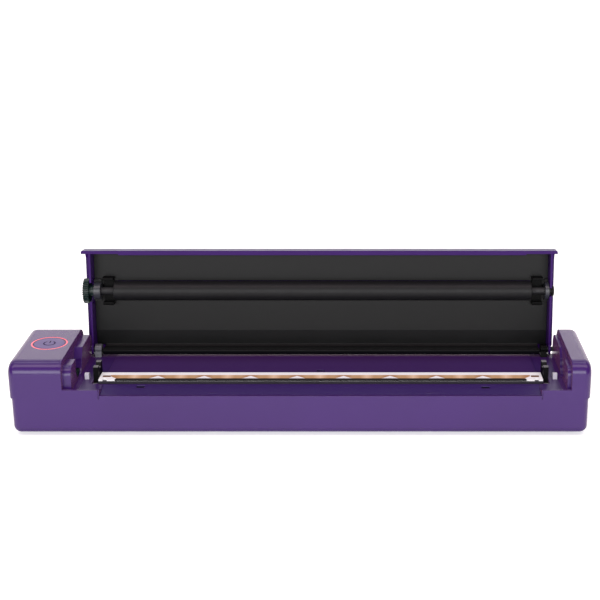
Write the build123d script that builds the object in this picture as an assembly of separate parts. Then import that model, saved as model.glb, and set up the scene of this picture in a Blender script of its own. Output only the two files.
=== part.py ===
from build123d import *
import math
import os

os.makedirs("parts", exist_ok=True)

# A portable thermal printer for tattoo stencils, with its lid open.
# Lengths are in millimetres. X runs left to right, Y from the front face to the back,
# and Z up from the underside. Lid pieces are drawn with the lid shut, then turned open.
# Pieces on the left are placed from the left block's rim, those on the right from the right
# block's rim, and those of the printing mechanism down from the top.

# Body
BODY_WIDTH = 295.0
BODY_DEPTH = 57.4
BODY_HEIGHT = 38.3
TOP_RADIUS = 7.0
BASE_RADIUS = 4.0
END_RADIUS = 3.8
WALL = 2.0
END_STEP = 0.8
END_STEP_Z = 19.2
PARTING_Z = 3.0
COVER_FLOOR = 2.0
LOCATING_LIP = 1.6
LIP_THICK = 1.2
FIT = 0.1
LEFT_BLOCK_WIDTH = 27.3
RIGHT_BLOCK_WIDTH = 10.1

# Bay between the end blocks
CHEEK_STEP = 3.5
CHEEK_FRONT = 3.2
CHEEK_RADIUS = 5.5
LEFT_CHEEK_WIDTH = 4.3
RIGHT_CHEEK_WIDTH = 1.8
CHEEK_WALL = 1.6
FLOOR_DROP = 15.7
FRONT_END_DROP = 14.3
FRONT_MID_DROP = 17.4
DECK_DROP = 14.5
DECK_REAR_DROP = 15.1
DECK_TAIL_DROP = 16.1
DECK_TAIL_LENGTH = 6.9
SKIN = 1.8
SLOT_INSET_LEFT = 18.6
SLOT_INSET_RIGHT = 15.0
SLOT_GROOVE = 0.6

# Hinge and lid
HINGE_DROP = 12.2
HINGE_INSET = 3.1
OPEN_ANGLE = 97.0
HINGE_PIN_RADIUS = 1.25
HINGE_CLEARANCE = 0.08
EAR_RADIUS = 3.1
HINGE_BLOCK = 3.5
HINGE_BLOCK_GAP = 0.8
LID_CLEARANCE = 1.1
LID_REAR_INSET = 0.1
LID_SHELL = 1.8
LID_REAR_RADIUS = 6.0
LIP_DROP = 13.8
LIP_BAND = 0.6
WALL_GAP_LEFT = 0.6
WALL_GAP_RIGHT = 1.8
WALL_THICK = 1.1
WALL_DROP = 13.3
REAR_WALL_LIFT = 1.5
LINER_DROP = 5.0
LINER_THICK = 1.2
LINER_FRONT = 3.0
LINER_FLAT = 42.4
LINER_RISE = 1.0
GUIDE_RADIUS = 2.95
APRON_THICK = 1.2

# Roller, with the lid shut
ROLLER_Y = 22.8
ROLLER_RADIUS = 5.25
ROLLER_CORE_RADIUS = 3.5
NIP = 0.15
SHAFT_RADIUS = 2.0
SHAFT_CLEARANCE = 0.05
RUBBER_INSET_LEFT = 17.5
RUBBER_INSET_RIGHT = 14.3
BEARING_RADIUS = 4.6
BEARING_LENGTH = 3.5
RIGHT_BEARING_LENGTH = 2.1
BEARING_GAP = 0.8
BRACKET_LENGTH = 5.6
BRACKET_SPAN = 15.3
BRACKET_GAP = 11.8
BRACKET_DEPTH = 5.1
END_CAP_RADIUS = 2.9
END_CAP_LENGTH = 1.3

# Frame plates
PLATE_THICK = 2.6
PLATE_INSET = 2.2
HORN_SPAN = 10.8
HORN_DROP = 8.6
PLATE_SLOT = 4.4
PLATE_SPAN = 20.0
PLATE_FOOT_DEPTH = 3.0
PLATE_FOOT_REACH = 5.4
PLATE_CLEARANCE = 0.2

# Thermal head
HEAD_END_GAP = 0.6
HEAD_DROP = 13.9
CERAMIC_THICK = 0.8
CERAMIC_FRONT = 13.6
CERAMIC_REAR = 23.8
SINK_FRONT = 12.6
SINK_REAR = 24.8
SINK_HEIGHT = 7.0
HEAD_GAP = 0.5
HEAD_PIVOT_Y = 14.8
HEAD_PIVOT_LIFT = 2.0
HEAD_PIN_RADIUS = 1.2
SPRING_COUNT = 4
SPRING_PITCH = 54.0
SPRING_WIDTH = 8.0
SPRING_STRIP = 0.5
SPRING_HEIGHT = 5.55
SPRING_Y = 18.0
SPRING_REACH = 3.5
SPRING_GROOVE = 1.6
SPRING_CLEARANCE = 0.05

# Paper sensors and bearing rests
SENSOR_WIDTH = 4.2
SENSOR_DEPTH = 2.0
SENSOR_INSET_LEFT = 22.3
SENSOR_INSET_RIGHT = 30.0
REST_WIDTH = 2.2
REST_FRONT = 18.4
REST_REAR = 21.6
REST_RISE = 3.2
REST_PIN_RADIUS = 0.9

# Gear train
MODULE = 0.4
ROLLER_TEETH = 32
DRIVE_TEETH = 40
SMALL_TEETH = 20
LARGE_TEETH = 36
PINION_TEETH = 16
CENTRE_EXTRA = 0.08
GEAR_BACKLASH = 0.12
ROLLER_TO_DRIVE_ANGLE = -70.0
DRIVE_TO_REDUCTION_ANGLE = 35.0
REDUCTION_TO_MOTOR_ANGLE = -55.4
ROLLER_GEAR_WIDTH = 2.9
ROLLER_GEAR_GAP = 1.3
DRIVE_GEAR_WIDTH = 3.0
SMALL_GEAR_WIDTH = 2.3
LARGE_GEAR_WIDTH = 2.0
GEAR_SIDE_GAP = 0.6
GEAR_HUB_RADIUS = 2.9
GEAR_DISH = 0.8
CLIP_THICK = 0.4
CLIP_WIDTH = 1.2
POST_RADIUS = 1.5
GEAR_PLATE_THICK = 1.0
GEAR_PLATE_FRONT = 12.0
GEAR_PLATE_FOOT = 9.5
GEAR_PLATE_TAB = 6.0

# Motor
MOTOR_RADIUS = 10.0
MOTOR_LENGTH = 14.0
MOTOR_SHAFT_RADIUS = 1.0
MOTOR_EAR_SPAN = 25.0
MOTOR_EAR_WIDTH = 5.0
MOTOR_EAR_ANGLE = 50.0

# Power button
BUTTON_INSET = 15.3
BUTTON_Y = 30.1
RING_RADIUS = 9.35
RING_WIDTH = 1.05
RING_DEPTH = 3.0
RING_FLANGE = 0.55
CAP_THICK = 1.8
BUTTON_TRAVEL = 0.8
STEM_RADIUS = 2.0
STEM_LENGTH = 7.2
SWITCH_SIDE = 6.0
SWITCH_HEIGHT = 1.8
BUTTON_BOARD = 1.2

# Inside
PACK_DEPTH = 21.0
PACK_LENGTH = 66.0
PACK_CLEARANCE = 0.5
BOARD_LENGTH = 85.4
BOARD_DEPTH = 20.4
BOARD_REAR_GAP = 9.0
BOARD_Z = 9.0
BOARD_THICK = 1.6
SOCKET_WIDTH = 9.0
SOCKET_HEIGHT = 3.2
SOCKET_LENGTH = 7.4

# Fasteners and feet
SCREW_RADIUS = 1.3
SCREW_HEAD_RADIUS = 2.3
SCREW_HEAD = 1.2
SCREW_SINK = 0.1
SCREW_LENGTH = 9.0
SMALL_SCREW_RADIUS = 0.9
BOSS_RADIUS = 3.2
BOSS_INSET = 8.0
FOOT_RADIUS = 4.5
FOOT_PROUD = 1.2
FOOT_SUNK = 1.0
FOOT_SPACING = 200.0
FOOT_INSET = 10.0

# Places that follow from the sizes above: across the body
HALF = BODY_WIDTH / 2
LEFT_RIM = -HALF + LEFT_BLOCK_WIDTH
RIGHT_RIM = HALF - RIGHT_BLOCK_WIDTH
LEFT_CHEEK = LEFT_RIM + LEFT_CHEEK_WIDTH
RIGHT_CHEEK = RIGHT_RIM - RIGHT_CHEEK_WIDTH
SLOT_LEFT = LEFT_RIM + SLOT_INSET_LEFT
SLOT_RIGHT = RIGHT_RIM - SLOT_INSET_RIGHT
LID_LEFT = LEFT_RIM + LID_CLEARANCE
LID_RIGHT = RIGHT_RIM - LID_CLEARANCE
WALL_LEFT = LEFT_CHEEK + WALL_GAP_LEFT
WALL_RIGHT = RIGHT_CHEEK - WALL_GAP_RIGHT
RUBBER_LEFT = LEFT_RIM + RUBBER_INSET_LEFT
RUBBER_RIGHT = RIGHT_RIM - RUBBER_INSET_RIGHT
LEFT_BEARING = WALL_LEFT + WALL_THICK + BEARING_GAP
RIGHT_BEARING_END = WALL_RIGHT - WALL_THICK - 0.1
RIGHT_BEARING = RIGHT_BEARING_END - RIGHT_BEARING_LENGTH
LEFT_BRACKET = RUBBER_LEFT - 0.5 - BRACKET_LENGTH
RIGHT_BRACKET = RUBBER_RIGHT + 0.5
LEFT_PLATE = RUBBER_LEFT - PLATE_INSET - PLATE_THICK
RIGHT_PLATE = RUBBER_RIGHT + PLATE_INSET
HEAD_LEFT = LEFT_PLATE + PLATE_THICK + HEAD_END_GAP
HEAD_RIGHT = RIGHT_PLATE - HEAD_END_GAP
HEAD_MIDDLE = (HEAD_LEFT + HEAD_RIGHT) / 2
LEFT_BLOCK = WALL_LEFT + WALL_THICK + HINGE_BLOCK_GAP
RIGHT_BLOCK = WALL_RIGHT - WALL_THICK - HINGE_BLOCK_GAP - HINGE_BLOCK
REST_PLACES = [LEFT_BEARING + 2.2, (RIGHT_BEARING + RIGHT_BEARING_END) / 2]
SENSOR_LEFT = HEAD_LEFT + SENSOR_INSET_LEFT
SENSOR_RIGHT = HEAD_RIGHT - SENSOR_INSET_RIGHT
ROLLER_GEAR_X = LEFT_RIM + ROLLER_GEAR_GAP
DRIVE_GEAR_X = LEFT_RIM + 0.2
SMALL_GEAR_X = LEFT_RIM
LARGE_GEAR_X = LEFT_RIM - WALL - 0.6 - LARGE_GEAR_WIDTH
GEAR_PLATE_X = LARGE_GEAR_X - GEAR_SIDE_GAP - GEAR_PLATE_THICK
BUTTON_X = -HALF + BUTTON_INSET

# Places up the body
HINGE_Z = BODY_HEIGHT - HINGE_DROP
HEAD_TOP = BODY_HEIGHT - HEAD_DROP
ROLLER_Z = HEAD_TOP + ROLLER_RADIUS + NIP
CHEEK_TOP = BODY_HEIGHT - CHEEK_STEP
BAY_FLOOR = BODY_HEIGHT - FLOOR_DROP
FRONT_END_TOP = BODY_HEIGHT - FRONT_END_DROP
FRONT_MID_TOP = BODY_HEIGHT - FRONT_MID_DROP
DECK_Z = BODY_HEIGHT - DECK_DROP
DECK_REAR_Z = BODY_HEIGHT - DECK_REAR_DROP
DECK_TAIL_Z = BODY_HEIGHT - DECK_TAIL_DROP
LIP_BOTTOM = BODY_HEIGHT - LIP_DROP
WALL_BOTTOM = BODY_HEIGHT - WALL_DROP
REAR_WALL_BOTTOM = HINGE_Z + REAR_WALL_LIFT
LINER_Z = BODY_HEIGHT - LINER_DROP
BRACKET_BOTTOM = LINER_Z - BRACKET_DEPTH
BRACKET_CEILING = LINER_Z - 1.1
HORN_TOP = BODY_HEIGHT - HORN_DROP
PLATE_FOOT = BAY_FLOOR - PLATE_FOOT_DEPTH
SINK_BOTTOM = HEAD_TOP - SINK_HEIGHT
HEAD_PIVOT_Z = SINK_BOTTOM + HEAD_PIVOT_LIFT
SPRING_BASE = SINK_BOTTOM + SPRING_GROOVE - SPRING_CLEARANCE - SPRING_HEIGHT
BLOCK_CEILING = BODY_HEIGHT - WALL
STEM_END = BODY_HEIGHT - STEM_LENGTH
SWITCH_TOP = STEM_END - BUTTON_TRAVEL - 0.1
BUTTON_BOARD_Z = SWITCH_TOP - SWITCH_HEIGHT - BUTTON_BOARD
PACK_TOP = FRONT_MID_TOP - SKIN - PACK_CLEARANCE
SOCKET_Z = BOARD_Z + BOARD_THICK

# Places from front to back
HINGE_Y = BODY_DEPTH - HINGE_INSET
DECK_BREAK_Y = BODY_DEPTH - DECK_TAIL_LENGTH
LID_REAR = BODY_DEPTH - LID_REAR_INSET
LINER_BEND_Y = LINER_FRONT + LINER_FLAT
LINER_END_Y = HINGE_Y - 0.7
BOARD_REAR = BODY_DEPTH - BOARD_REAR_GAP
BOARD_FRONT = BOARD_REAR - BOARD_DEPTH
BOARD_RIGHT = HALF - END_STEP - WALL - 1.3
BOARD_LEFT = BOARD_RIGHT - BOARD_LENGTH
SOCKET_Y = BOARD_REAR - 9.9
PACK_REAR = BODY_DEPTH - WALL - 5.5
PACK_LEFT = SLOT_LEFT + 5.6
BUTTON_PILLARS = (BUTTON_Y - 14.0, BUTTON_Y + 14.0)
SENSOR_PLACES = [(SENSOR_LEFT, 9.6), (SENSOR_RIGHT, 9.0), (HEAD_MIDDLE - 0.4, SINK_REAR + 3.2)]
FOOT_PLACES = [(x, y) for x in (-FOOT_SPACING / 2, FOOT_SPACING / 2)
               for y in (FOOT_INSET, BODY_DEPTH - FOOT_INSET)]
SPRING_PLACES = [HEAD_MIDDLE + (k - (SPRING_COUNT - 1) / 2) * SPRING_PITCH for k in range(SPRING_COUNT)]
BOARD_POSTS = [(x, y) for x in (BOARD_LEFT + 3.5, BOARD_RIGHT - 14)
               for y in (BOARD_FRONT + 3, BOARD_REAR - 3)]
GEAR_PLATE_SCREWS = [(LEFT_RIM + 2.7, GEAR_PLATE_FRONT + 3), (LEFT_RIM + 2.7, BODY_DEPTH - 10.4)]
BOSS_REAR = BODY_DEPTH - 5.4
SCREW_PLACES = [(-HALF + 8.5, BOSS_INSET), (LEFT_CHEEK + 7.4, BODY_DEPTH - 7.2), (-HALF + 102.5, 6.4),
                (HALF - 82.5, 6.4), (BOARD_LEFT - 11.0, BOSS_REAR), (RIGHT_RIM - 6.4, BOSS_INSET),
                (RIGHT_RIM - 6.4, BOSS_REAR)]
PLATE_SCREW_Y = (ROLLER_Y + 1.0, ROLLER_Y + 7.0)


def box(x0, x1, y0, y1, z0, z1):
    """A block between two corners."""
    middle = Pos((x0 + x1) / 2, (y0 + y1) / 2, (z0 + z1) / 2)
    return middle * Box(x1 - x0, y1 - y0, z1 - z0)


def rod(x0, x1, y, z, radius):
    """A round bar along X."""
    return Pos((x0 + x1) / 2, y, z) * Rot(0, 90, 0) * Cylinder(radius, x1 - x0)


def post(x, y, z0, z1, radius):
    """A round bar along Z."""
    return Pos(x, y, (z0 + z1) / 2) * Cylinder(radius, z1 - z0)


def prism(points, x0, x1):
    """A polygon of (Y, Z) points drawn out along X."""
    face = make_face(Polyline(*points, close=True))
    return extrude(Plane.YZ.offset(x0) * face, x1 - x0)


def polar(centre, angle, distance):
    turn = math.radians(angle)
    return (centre[0] + distance * math.cos(turn), centre[1] + distance * math.sin(turn))


def turned(y, z):
    """Where a (Y, Z) point of the shut lid lies when the lid is open."""
    lean = math.radians(-OPEN_ANGLE)
    back, up = y - HINGE_Y, z - HINGE_Z
    return (HINGE_Y + back * math.cos(lean) - up * math.sin(lean),
            HINGE_Z + back * math.sin(lean) + up * math.cos(lean))


# The rounded front of the open lid is the rearmost part of the printer
OPEN_REAR = turned(TOP_RADIUS, BODY_HEIGHT - TOP_RADIUS)[0] + TOP_RADIUS
MIDDLE_Y = OPEN_REAR / 2


def opened(shape):
    """Turn a lid piece from shut to open about the hinge."""
    there = Pos(0, HINGE_Y, HINGE_Z)
    back = Pos(0, -HINGE_Y, -HINGE_Z)
    return there * Rot(-OPEN_ANGLE, 0, 0) * back * shape


def save(name, *shapes):
    """Stand the shapes on their feet over the origin and write them as one node."""
    stand = Pos(0, -MIDDLE_Y, FOOT_PROUD)
    solids = [stand * solid for shape in shapes for solid in shape.solids()]
    whole = solids[0] if len(solids) == 1 else Compound(children=solids)
    whole.label = name
    export_step(whole, f"parts/{name}.step")


# Body profiles

def rounded_bar(half_width, inset=0.0):
    """The body's outer form, or the same form moved inwards by an inset."""
    depth = BODY_DEPTH - 2 * inset
    height = BODY_HEIGHT - 2 * inset
    profile = Pos(BODY_DEPTH / 2, BODY_HEIGHT / 2) * Rectangle(depth, height)
    rows = profile.vertices().group_by(Axis.Y)
    profile = fillet(rows[-1], TOP_RADIUS - inset)
    profile = fillet(profile.vertices().group_by(Axis.Y)[0], BASE_RADIUS - inset)
    half = half_width - inset
    bar = extrude(Plane.YZ.offset(-half) * profile, 2 * half)
    ends = bar.edges().filter_by(Plane.YZ)
    return fillet(ends, END_RADIUS - inset)


def plan_block(inset, z0, z1):
    """An upright block with the outline of the lower body in plan, moved inwards by an inset."""
    outline = Rectangle(2 * (HALF - END_STEP - inset), BODY_DEPTH - 2 * inset)
    outline = fillet(outline.vertices(), max(END_RADIUS - inset, 0.8))
    return extrude(Pos(0, BODY_DEPTH / 2, z0) * outline, z1 - z0)


def stepped_body():
    """The outer form, a little narrower below the step on its ends."""
    reach = 2 * BODY_HEIGHT
    upper = rounded_bar(HALF) - box(-HALF - 1, HALF + 1, -1, BODY_DEPTH + 1, -reach, END_STEP_Z)
    lower = rounded_bar(HALF - END_STEP) - box(-HALF, HALF, -1, BODY_DEPTH + 1, END_STEP_Z, reach)
    return upper + lower


def bay_line(front_top, floor_front, floor_rear):
    """Top line of the body between the blocks, from the front edge to the back."""
    return [(-2, front_top), (WALL, front_top), (SINK_FRONT - HEAD_GAP, floor_front),
            (SINK_REAR + HEAD_GAP, floor_rear), (DECK_BREAK_Y, DECK_REAR_Z), (BODY_DEPTH, DECK_TAIL_Z),
            (BODY_DEPTH + 2, DECK_TAIL_Z)]


def bay_cut(x0, x1, line):
    """Everything above a bay line."""
    over = BODY_HEIGHT + 5
    return prism(line + [(BODY_DEPTH + 2, over), (-2, over)], x0, x1)


END_LINE = [(-2, FRONT_END_TOP), (WALL, FRONT_END_TOP), (WALL + 1.2, BAY_FLOOR),
            (DECK_BREAK_Y, BAY_FLOOR), (BODY_DEPTH, DECK_TAIL_Z), (BODY_DEPTH + 2, DECK_TAIL_Z)]
MID_LINE = bay_line(FRONT_MID_TOP, BAY_FLOOR, DECK_Z)


def cheek(x0, x1):
    """Step beside an end block that the lid's edge closes over."""
    profile = Pos((CHEEK_FRONT + BODY_DEPTH) / 2, (CHEEK_TOP + FRONT_MID_TOP) / 2)
    profile = profile * Rectangle(BODY_DEPTH - CHEEK_FRONT, CHEEK_TOP - FRONT_MID_TOP)
    profile = fillet(profile.vertices().group_by(Axis.Y)[-1], CHEEK_RADIUS)
    return extrude(Plane.YZ.offset(x0) * profile, x1 - x0)


def swing_notch(x0, x1, radius):
    """Room for the roller's end to swing down into a cheek, open at the top and flared to the back."""
    reach = math.hypot(HINGE_Y - ROLLER_Y, HINGE_Z - ROLLER_Z)
    over = CHEEK_TOP + 1
    rise = over - HINGE_Z
    front = HINGE_Y - math.sqrt((reach + radius) ** 2 - rise ** 2)
    rear = HINGE_Y - math.sqrt((reach - radius) ** 2 - rise ** 2)
    flare = 2.6
    sides = [(ROLLER_Y - radius, ROLLER_Z), (front, over), (rear + flare, over),
             (ROLLER_Y + radius, ROLLER_Z)]
    return prism(sides, x0, x1) + rod(x0, x1, ROLLER_Y, ROLLER_Z, radius)


# Gears

def gear_blank(teeth, start):
    """Gear outline with involute flanks; a tooth points along the start angle."""
    pitch_radius = MODULE * teeth / 2
    tip_radius = pitch_radius + 0.9 * MODULE
    root_radius = pitch_radius - 1.2 * MODULE
    base_radius = pitch_radius * math.cos(math.radians(20))
    half_tooth = math.pi / (2 * teeth) - GEAR_BACKLASH / (2 * pitch_radius)

    def half_angle(radius):
        def roll(r):
            lean = math.acos(min(1.0, base_radius / r))
            return math.tan(lean) - lean
        return half_tooth + roll(pitch_radius) - roll(radius)

    outline = []
    for tooth in range(teeth):
        middle = math.radians(start) + 2 * math.pi * tooth / teeth
        flank = [root_radius, pitch_radius, tip_radius]
        for side, radii in ((-1, flank), (1, flank[::-1])):
            for radius in radii:
                angle = middle + side * half_angle(radius)
                outline.append((radius * math.cos(angle), radius * math.sin(angle)))
    return make_face(Polyline(*outline, close=True))


def gear(teeth, centre, start, x0, x1):
    placed = Plane(origin=(x0, centre[0], centre[1]), x_dir=(0, 1, 0), z_dir=(1, 0, 0))
    return extrude(placed * gear_blank(teeth, start), x1 - x0)


def meshing_start(start_a, teeth_a, line_angle, teeth_b):
    """Start angle of gear B, so that it meshes with gear A across the line of centres."""
    lead = start_a - line_angle
    return line_angle + 180 - lead * teeth_a / teeth_b + 180 / teeth_b


def centre_distance(teeth_a, teeth_b):
    return MODULE * (teeth_a + teeth_b) / 2 + CENTRE_EXTRA


ROLLER_CENTRE = (ROLLER_Y, ROLLER_Z)
DRIVE_CENTRE = polar(ROLLER_CENTRE, ROLLER_TO_DRIVE_ANGLE, centre_distance(ROLLER_TEETH, DRIVE_TEETH))
REDUCTION_CENTRE = polar(DRIVE_CENTRE, DRIVE_TO_REDUCTION_ANGLE, centre_distance(DRIVE_TEETH, SMALL_TEETH))
MOTOR_CENTRE = polar(REDUCTION_CENTRE, REDUCTION_TO_MOTOR_ANGLE, centre_distance(LARGE_TEETH, PINION_TEETH))
DRIVE_TIP = MODULE * DRIVE_TEETH / 2 + MODULE
ROLLER_GEAR_TIP = MODULE * ROLLER_TEETH / 2 + MODULE
SMALL_TIP = MODULE * SMALL_TEETH / 2 + MODULE


# Housing

def housing_cavity():
    """The hollow inside the upper housing."""
    inner = rounded_bar(HALF - END_STEP, WALL) + plan_block(WALL, PARTING_Z, PARTING_Z + BASE_RADIUS)
    under = SKIN
    mid_roof = [(0, 0), (0, FRONT_MID_TOP - under), (SINK_FRONT - HEAD_GAP, BAY_FLOOR - under),
                (SINK_REAR + HEAD_GAP, DECK_Z - under), (DECK_BREAK_Y, DECK_REAR_Z - under),
                (BODY_DEPTH, DECK_TAIL_Z - under), (BODY_DEPTH, 0)]
    end_roof = [(0, 0), (0, FRONT_MID_TOP - under), (SINK_FRONT - HEAD_GAP, BAY_FLOOR - under),
                (DECK_BREAK_Y, BAY_FLOOR - under), (BODY_DEPTH, DECK_TAIL_Z - under), (BODY_DEPTH, 0)]
    rooms = prism(mid_roof, SLOT_LEFT, SLOT_RIGHT)
    rooms += prism(end_roof, LEFT_RIM - WALL, SLOT_LEFT) + prism(end_roof, SLOT_RIGHT, RIGHT_RIM + WALL)
    rooms += box(-HALF, LEFT_RIM - WALL, 0, BODY_DEPTH, 0, BODY_HEIGHT)
    rooms += box(RIGHT_RIM + WALL, HALF, 0, BODY_DEPTH, 0, BODY_HEIGHT)
    # Pockets of the drive gear and the small gear in the left cheek and rim
    rooms += rod(LEFT_RIM, DRIVE_GEAR_X + DRIVE_GEAR_WIDTH + 0.2, *DRIVE_CENTRE, DRIVE_TIP + 0.5)
    rooms += rod(LEFT_RIM - WALL - 0.1, SMALL_GEAR_X + SMALL_GEAR_WIDTH + 0.3, *REDUCTION_CENTRE,
                 SMALL_TIP + 0.5)
    return inner & rooms


def upper_housing():
    body = stepped_body() - box(-HALF - 1, HALF + 1, -1, BODY_DEPTH + 1, -5, PARTING_Z)
    body -= bay_cut(LEFT_RIM, SLOT_LEFT, END_LINE)
    body -= bay_cut(SLOT_RIGHT, RIGHT_RIM, END_LINE)
    body -= bay_cut(SLOT_LEFT, SLOT_RIGHT, MID_LINE)
    body += cheek(LEFT_RIM - FIT, LEFT_CHEEK) + cheek(RIGHT_CHEEK, RIGHT_RIM + FIT)
    body -= housing_cavity()
    body -= swing_notch(LEFT_RIM + FIT, LEFT_CHEEK + 1, ROLLER_GEAR_TIP + 0.6)
    body -= swing_notch(RIGHT_CHEEK - 1, RIGHT_CHEEK + 1.2, ROLLER_GEAR_TIP + 0.6)
    # The head's well and the slots of the frame plates
    body -= box(HEAD_LEFT - 0.3, HEAD_RIGHT + 0.3, SINK_FRONT - HEAD_GAP, SINK_REAR + HEAD_GAP,
                0, BODY_HEIGHT)
    slot_front = ROLLER_Y - PLATE_SPAN / 2 - PLATE_CLEARANCE
    slot_rear = ROLLER_Y + HORN_SPAN / 2 + PLATE_CLEARANCE
    for x in (LEFT_PLATE, RIGHT_PLATE):
        body -= box(x - FIT, x + PLATE_THICK + FIT, slot_front, slot_rear, PLATE_FOOT, BODY_HEIGHT)
    # Grooves at the ends of the paper slot
    for x in (SLOT_LEFT - SLOT_GROOVE, SLOT_RIGHT):
        body -= box(x, x + SLOT_GROOVE, -1, 0.5, END_STEP_Z, BODY_HEIGHT)
    # Hinge pin holes
    body -= rod(LEFT_RIM + FIT, LEFT_CHEEK + 1, HINGE_Y, HINGE_Z, HINGE_PIN_RADIUS)
    body -= rod(RIGHT_CHEEK - 1, RIGHT_RIM + WALL - FIT, HINGE_Y, HINGE_Z, HINGE_PIN_RADIUS)
    # Button well, charging port and sensor windows
    body -= post(BUTTON_X, BUTTON_Y, BLOCK_CEILING - 1, BODY_HEIGHT + 1, RING_RADIUS)
    port = box(HALF - 6, HALF + 1, SOCKET_Y - SOCKET_WIDTH / 2 - 0.4, SOCKET_Y + SOCKET_WIDTH / 2 + 0.4,
               SOCKET_Z - 0.4, SOCKET_Z + SOCKET_HEIGHT + 0.4)
    body -= fillet(port.edges().filter_by(Axis.X), 1.6)
    for x, y in SENSOR_PLACES:
        body -= box(x - SENSOR_WIDTH / 2, x + SENSOR_WIDTH / 2, y - SENSOR_DEPTH / 2, y + SENSOR_DEPTH / 2,
                    10, 30)
    # Screw bosses, down from the inside to the parting line
    for x, y in SCREW_PLACES:
        boss_top = BLOCK_CEILING + 1 if x < LEFT_RIM - WALL else BAY_FLOOR - SKIN + 0.5
        boss = post(x, y, PARTING_Z, boss_top, BOSS_RADIUS)
        boss -= post(x, y, PARTING_Z, COVER_FLOOR + SCREW_LENGTH + 1, SCREW_RADIUS)
        body += boss & rounded_bar(HALF - END_STEP, FIT)
    for y in BUTTON_PILLARS:
        pillar = post(BUTTON_X, y, BUTTON_BOARD_Z + BUTTON_BOARD, BLOCK_CEILING + 1, 2.2)
        body += pillar - post(BUTTON_X, y, 0, BUTTON_BOARD_Z + BUTTON_BOARD + 4, 0.9)
    # Holes for the pins of the bearing rests
    for x in REST_PLACES:
        body -= post(x, REST_MIDDLE, 0, BAY_FLOOR + 1, REST_PIN_RADIUS)
    return body


REST_MIDDLE = (REST_FRONT + REST_REAR) / 2


def bottom_cover():
    slab = stepped_body() & box(-HALF, HALF, -1, BODY_DEPTH + 1, -1, PARTING_Z)
    hollow = rounded_bar(HALF - END_STEP, WALL) & box(-HALF, HALF, 0, BODY_DEPTH, COVER_FLOOR, BODY_HEIGHT)
    cover = slab - hollow
    # Lip that locates the cover inside the housing
    lip_top = PARTING_Z + LOCATING_LIP
    lip = plan_block(WALL + FIT, COVER_FLOOR - 0.5, lip_top)
    cover += lip - plan_block(WALL + FIT + LIP_THICK, COVER_FLOOR - 1, lip_top + 1)
    for x, y in SCREW_PLACES:
        cover -= post(x, y, PARTING_Z - FIT, lip_top + 1, BOSS_RADIUS + 0.3)
        cover += post(x, y, SCREW_HEAD, PARTING_Z - FIT, BOSS_RADIUS)
        cover -= post(x, y, -1, PARTING_Z + 1, SCREW_RADIUS + 0.1)
        cover -= post(x, y, -1, SCREW_SINK + SCREW_HEAD, SCREW_HEAD_RADIUS + 0.2)
    for x, y in FOOT_PLACES:
        cover -= post(x, y, -1, FOOT_SUNK, FOOT_RADIUS)
    # Fences of the battery packs, posts of the board and pedestals of the head springs
    for k in range(2):
        x0, x1 = pack_span(k)
        y0, y1 = PACK_REAR - PACK_DEPTH, PACK_REAR
        fence = box(x0 - 1.5, x1 + 1.5, y0 - 1.5, y1 + 1.5, COVER_FLOOR - 0.5, COVER_FLOOR + 4)
        fence -= box(x0 - PACK_CLEARANCE / 2, x1 + PACK_CLEARANCE / 2, y0 - PACK_CLEARANCE / 2,
                     y1 + PACK_CLEARANCE / 2, COVER_FLOOR, COVER_FLOOR + 5)
        fence -= box(x0 + 12, x1 - 12, y0 - 5, y1 + 5, COVER_FLOOR, COVER_FLOOR + 5)
        fence -= box(x0 - 5, x1 + 5, y0 + 6, y1 - 6, COVER_FLOOR, COVER_FLOOR + 5)
        cover += fence
    for x, y in BOARD_POSTS:
        pillar = post(x, y, COVER_FLOOR - 0.5, BOARD_Z, 2.4)
        cover += pillar - post(x, y, BOARD_Z - 4, BOARD_Z + 1, SMALL_SCREW_RADIUS)
    for x in SPRING_PLACES:
        cover += box(x - 5, x + 5, SPRING_Y - 1, SPRING_Y + SPRING_REACH + 0.5,
                     COVER_FLOOR - 0.5, SPRING_BASE)
    for x, y in GEAR_PLATE_SCREWS:
        cover -= post(x, y, -1, COVER_FLOOR + 1, SCREW_RADIUS)
        cover -= post(x, y, -1, SCREW_SINK + 0.9, SCREW_HEAD_RADIUS + 0.2)
    return cover


def pack_span(k):
    """Ends of one of the two battery packs, which lie end to end."""
    x0 = PACK_LEFT + k * (PACK_LENGTH + 3.5)
    return x0, x0 + PACK_LENGTH


def screw(x, y, z_head, length, head=SCREW_HEAD):
    """A pan head screw pointing up, with a cross slot in its head."""
    shank = post(x, y, z_head, z_head + length, SCREW_RADIUS - 0.05)
    cap = post(x, y, z_head, z_head + head, SCREW_HEAD_RADIUS)
    cross = Box(2.6, 0.6, 1.0) + Box(0.6, 2.6, 1.0)
    return shank + cap - Pos(x, y, z_head) * cross


def rubber_feet():
    feet = []
    for x, y in FOOT_PLACES:
        foot = post(x, y, -FOOT_PROUD, FOOT_SUNK, FOOT_RADIUS - 0.05)
        feet.append(chamfer(foot.edges().group_by(Axis.Z)[0], 0.5))
    return feet


# Frame plates

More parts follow.
